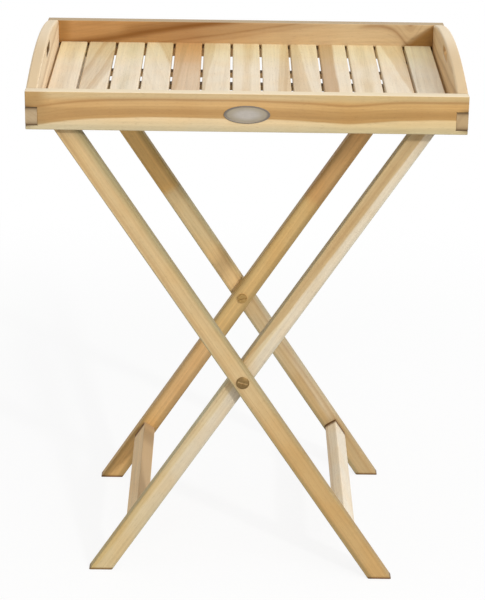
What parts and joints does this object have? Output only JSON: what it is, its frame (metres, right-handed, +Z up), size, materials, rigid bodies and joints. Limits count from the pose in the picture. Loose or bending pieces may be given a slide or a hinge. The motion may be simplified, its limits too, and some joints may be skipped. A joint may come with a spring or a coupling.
{
  "type": "folding tray table",
  "caption": "Small teak table: a slatted lift-off tray with arched, hand-holed ends on a cross-legged stand that folds flat about two pivot bolts.",
  "frame": {"origin": "on the floor, under the middle of the tray", "axes": "+X to the right along the tray's long side, +Y to the rear, +Z up; the oval plate is on the front, which faces -Y"},
  "size_m": [0.6, 0.4012, 0.771],
  "materials": {
    "tray_teak": "smooth sanded, untreated",
    "slat_teak": "smooth sanded, untreated",
    "stand_teak": "smooth sanded, untreated",
    "dark_bronze": "antiqued, semi-matt",
    "plate_metal": "satin, blank"
  },
  "bodies": {
    "outer_frame": {"outer_front_leg": "stand_teak", "outer_rear_leg": "stand_teak", "outer_top_rail": "stand_teak", "outer_stretcher": "stand_teak", "front_pivot_bolt": "dark_bronze", "rear_pivot_bolt": "dark_bronze", "front_sleeve_nut": "dark_bronze", "rear_sleeve_nut": "dark_bronze", "front_pivot_washer": "dark_bronze", "rear_pivot_washer": "dark_bronze"},
    "inner_frame": {"inner_front_leg": "stand_teak", "inner_rear_leg": "stand_teak", "inner_top_rail": "stand_teak", "inner_stretcher": "stand_teak"},
    "tray": {"front_rail": "tray_teak", "rear_rail": "tray_teak", "left_end_panel": "tray_teak", "right_end_panel": "tray_teak", "slat_01": "slat_teak", "slat_02": "slat_teak", "slat_03": "slat_teak", "slat_04": "slat_teak", "slat_05": "slat_teak", "slat_06": "slat_teak", "slat_07": "slat_teak", "slat_08": "slat_teak", "slat_09": "slat_teak", "slat_10": "slat_teak", "slat_11": "slat_teak", "slat_12": "slat_teak", "slat_13": "slat_teak", "front_batten": "tray_teak", "middle_batten": "tray_teak", "rear_batten": "tray_teak", "left_ledger": "tray_teak", "right_ledger": "tray_teak", "badge_plate": "plate_metal"}
  },
  "joints": [
    {"name": "tray_lift", "type": "slide", "parent": "outer_frame", "child": "tray", "axis": [0, 0, 1], "range_m": [0, 0.48]},
    {"name": "stand_fold", "type": "hinge", "parent": "outer_frame", "child": "inner_frame", "pos_m": [0, 0, 0.316], "axis": [0, -1, 0], "range_deg": [0, 61]}
  ],
  "couplings": [
    {"joint": "stand_fold", "follows": "tray_lift", "rad_per_m": 2.215}
  ]
}
